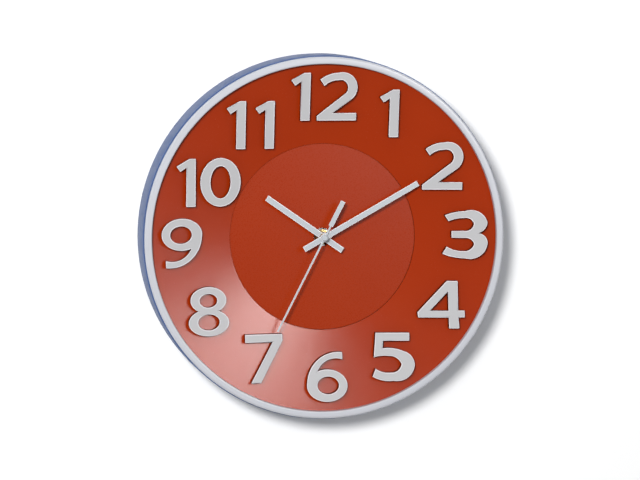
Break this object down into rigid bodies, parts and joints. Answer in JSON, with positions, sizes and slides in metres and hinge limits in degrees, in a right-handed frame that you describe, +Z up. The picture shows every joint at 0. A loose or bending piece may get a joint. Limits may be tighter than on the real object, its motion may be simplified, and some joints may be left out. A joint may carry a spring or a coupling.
{
  "type": "wall clock",
  "caption": "Round quartz wall clock with raised numerals on a dished dial, three hands, a battery movement and a keyhole for hanging.",
  "frame": {"origin": "top end of the hanging slot, where the screw's neck sits, on the wall plane at the back of the case", "axes": "front of the clock faces -Y, the wall is the XZ plane at Y = 0, +Z is up and +X is to the right seen from the front"},
  "size_m": [0.305, 0.046, 0.305],
  "materials": {
    "case_plastic": "satin moulded, slate blue",
    "ring_plastic": "satin silver-grey paint",
    "dial_plastic": "satin red with a fine grain",
    "disc_plastic": "fine-grained red",
    "numeral_silver": "satin silver",
    "hand_paint": "light grey paint",
    "brass": "turned",
    "steel": "bright",
    "movement_plastic": "black moulded",
    "wheel_plastic": "natural acetal",
    "rubber_black": "plain",
    "magnet": "sintered",
    "stator_steel": "stamped",
    "coil_copper": "enamelled wire",
    "bobbin_plastic": "plain",
    "board": "lacquered laminate",
    "chip_resin": "potted",
    "cell_wrap": "printed wrap without text"
  },
  "bodies": {
    "clock": {"case": "case_plastic", "front_ring": "ring_plastic", "ring_screws": "steel", "dial": "dial_plastic", "dial_disc": "disc_plastic", "numeral_1": "numeral_silver", "numeral_2": "numeral_silver", "numeral_3": "numeral_silver", "numeral_4": "numeral_silver", "numeral_5": "numeral_silver", "numeral_6": "numeral_silver", "numeral_7": "numeral_silver", "numeral_8": "numeral_silver", "numeral_9": "numeral_silver", "numeral_10": "numeral_silver", "numeral_11": "numeral_silver", "numeral_12": "numeral_silver", "movement_housing": "movement_plastic", "movement_front_cover": "movement_plastic", "middle_plate": "movement_plastic", "bush": "brass", "bush_nut": "brass", "bush_washer": "brass", "rubber_washer": "rubber_black", "stator": "stator_steel", "coil_core": "stator_steel", "coil_bobbin": "bobbin_plastic", "coil_winding": "coil_copper", "circuit_board": "board", "chip": "chip_resin", "crystal": "steel", "battery": "cell_wrap", "battery_terminal": "steel", "contact_positive": "steel", "contact_negative": "steel"},
    "minute_hand_set": {"minute_hand": "hand_paint", "minute_hand_collet": "brass", "minute_arbor": "wheel_plastic"},
    "hour_hand_set": {"hour_hand": "hand_paint", "hour_hand_collet": "brass", "hour_wheel": "wheel_plastic"},
    "motion_set": {"motion_wheel": "wheel_plastic"},
    "knob_set": {"set_knob": "movement_plastic"},
    "second_hand_set": {"second_hand": "hand_paint", "second_hand_tube": "brass", "second_hand_cap": "hand_paint", "seconds_wheel": "wheel_plastic", "seconds_arbor": "steel"},
    "step_set": {"step_wheel": "wheel_plastic"},
    "rotor_set": {"rotor_pinion": "wheel_plastic", "rotor_magnet": "magnet"},
    "third_set": {"third_wheel": "wheel_plastic"},
    "minute_wheel_set": {"minute_wheel": "wheel_plastic"}
  },
  "joints": [
    {"name": "minute_hand_turn", "type": "hinge", "parent": "clock", "child": "minute_hand_set", "pos_m": [0, -0.025, -0.132], "axis": [0, 1, 0], "continuous": true},
    {"name": "hour_hand_turn", "type": "hinge", "parent": "clock", "child": "hour_hand_set", "pos_m": [0, -0.025, -0.132], "axis": [0, 1, 0], "continuous": true},
    {"name": "motion_wheel_turn", "type": "hinge", "parent": "clock", "child": "motion_set", "pos_m": [0.00766, -0.016, -0.12557], "axis": [0, 1, 0], "continuous": true},
    {"name": "set_knob_turn", "type": "hinge", "parent": "clock", "child": "knob_set", "pos_m": [0.01753, -0.01, -0.12198], "axis": [0, 1, 0], "continuous": true},
    {"name": "second_hand_turn", "type": "hinge", "parent": "clock", "child": "second_hand_set", "pos_m": [0, -0.025, -0.132], "axis": [0, 1, 0], "continuous": true},
    {"name": "step_wheel_turn", "type": "hinge", "parent": "clock", "child": "step_set", "pos_m": [0.0124, -0.009, -0.13651], "axis": [0, 1, 0], "continuous": true},
    {"name": "rotor_turn", "type": "hinge", "parent": "clock", "child": "rotor_set", "pos_m": [0.02206, -0.009, -0.13822], "axis": [0, 1, 0], "continuous": true},
    {"name": "third_wheel_turn", "type": "hinge", "parent": "clock", "child": "third_set", "pos_m": [-0.0136, -0.011, -0.132], "axis": [0, 1, 0], "continuous": true},
    {"name": "minute_wheel_turn", "type": "hinge", "parent": "clock", "child": "minute_wheel_set", "pos_m": [0, -0.013, -0.132], "axis": [0, 1, 0], "continuous": true}
  ],
  "couplings": [
    {"joint": "hour_hand_turn", "follows": "minute_hand_turn", "ratio": 0.083333},
    {"joint": "motion_wheel_turn", "follows": "minute_hand_turn", "ratio": -0.33333},
    {"joint": "set_knob_turn", "follows": "minute_hand_turn", "ratio": 0.83333},
    {"joint": "step_wheel_turn", "follows": "second_hand_turn", "ratio": -5},
    {"joint": "rotor_turn", "follows": "second_hand_turn", "ratio": 30},
    {"joint": "third_wheel_turn", "follows": "second_hand_turn", "ratio": -0.13333},
    {"joint": "minute_wheel_turn", "follows": "second_hand_turn", "ratio": 0.016667}
  ]
}
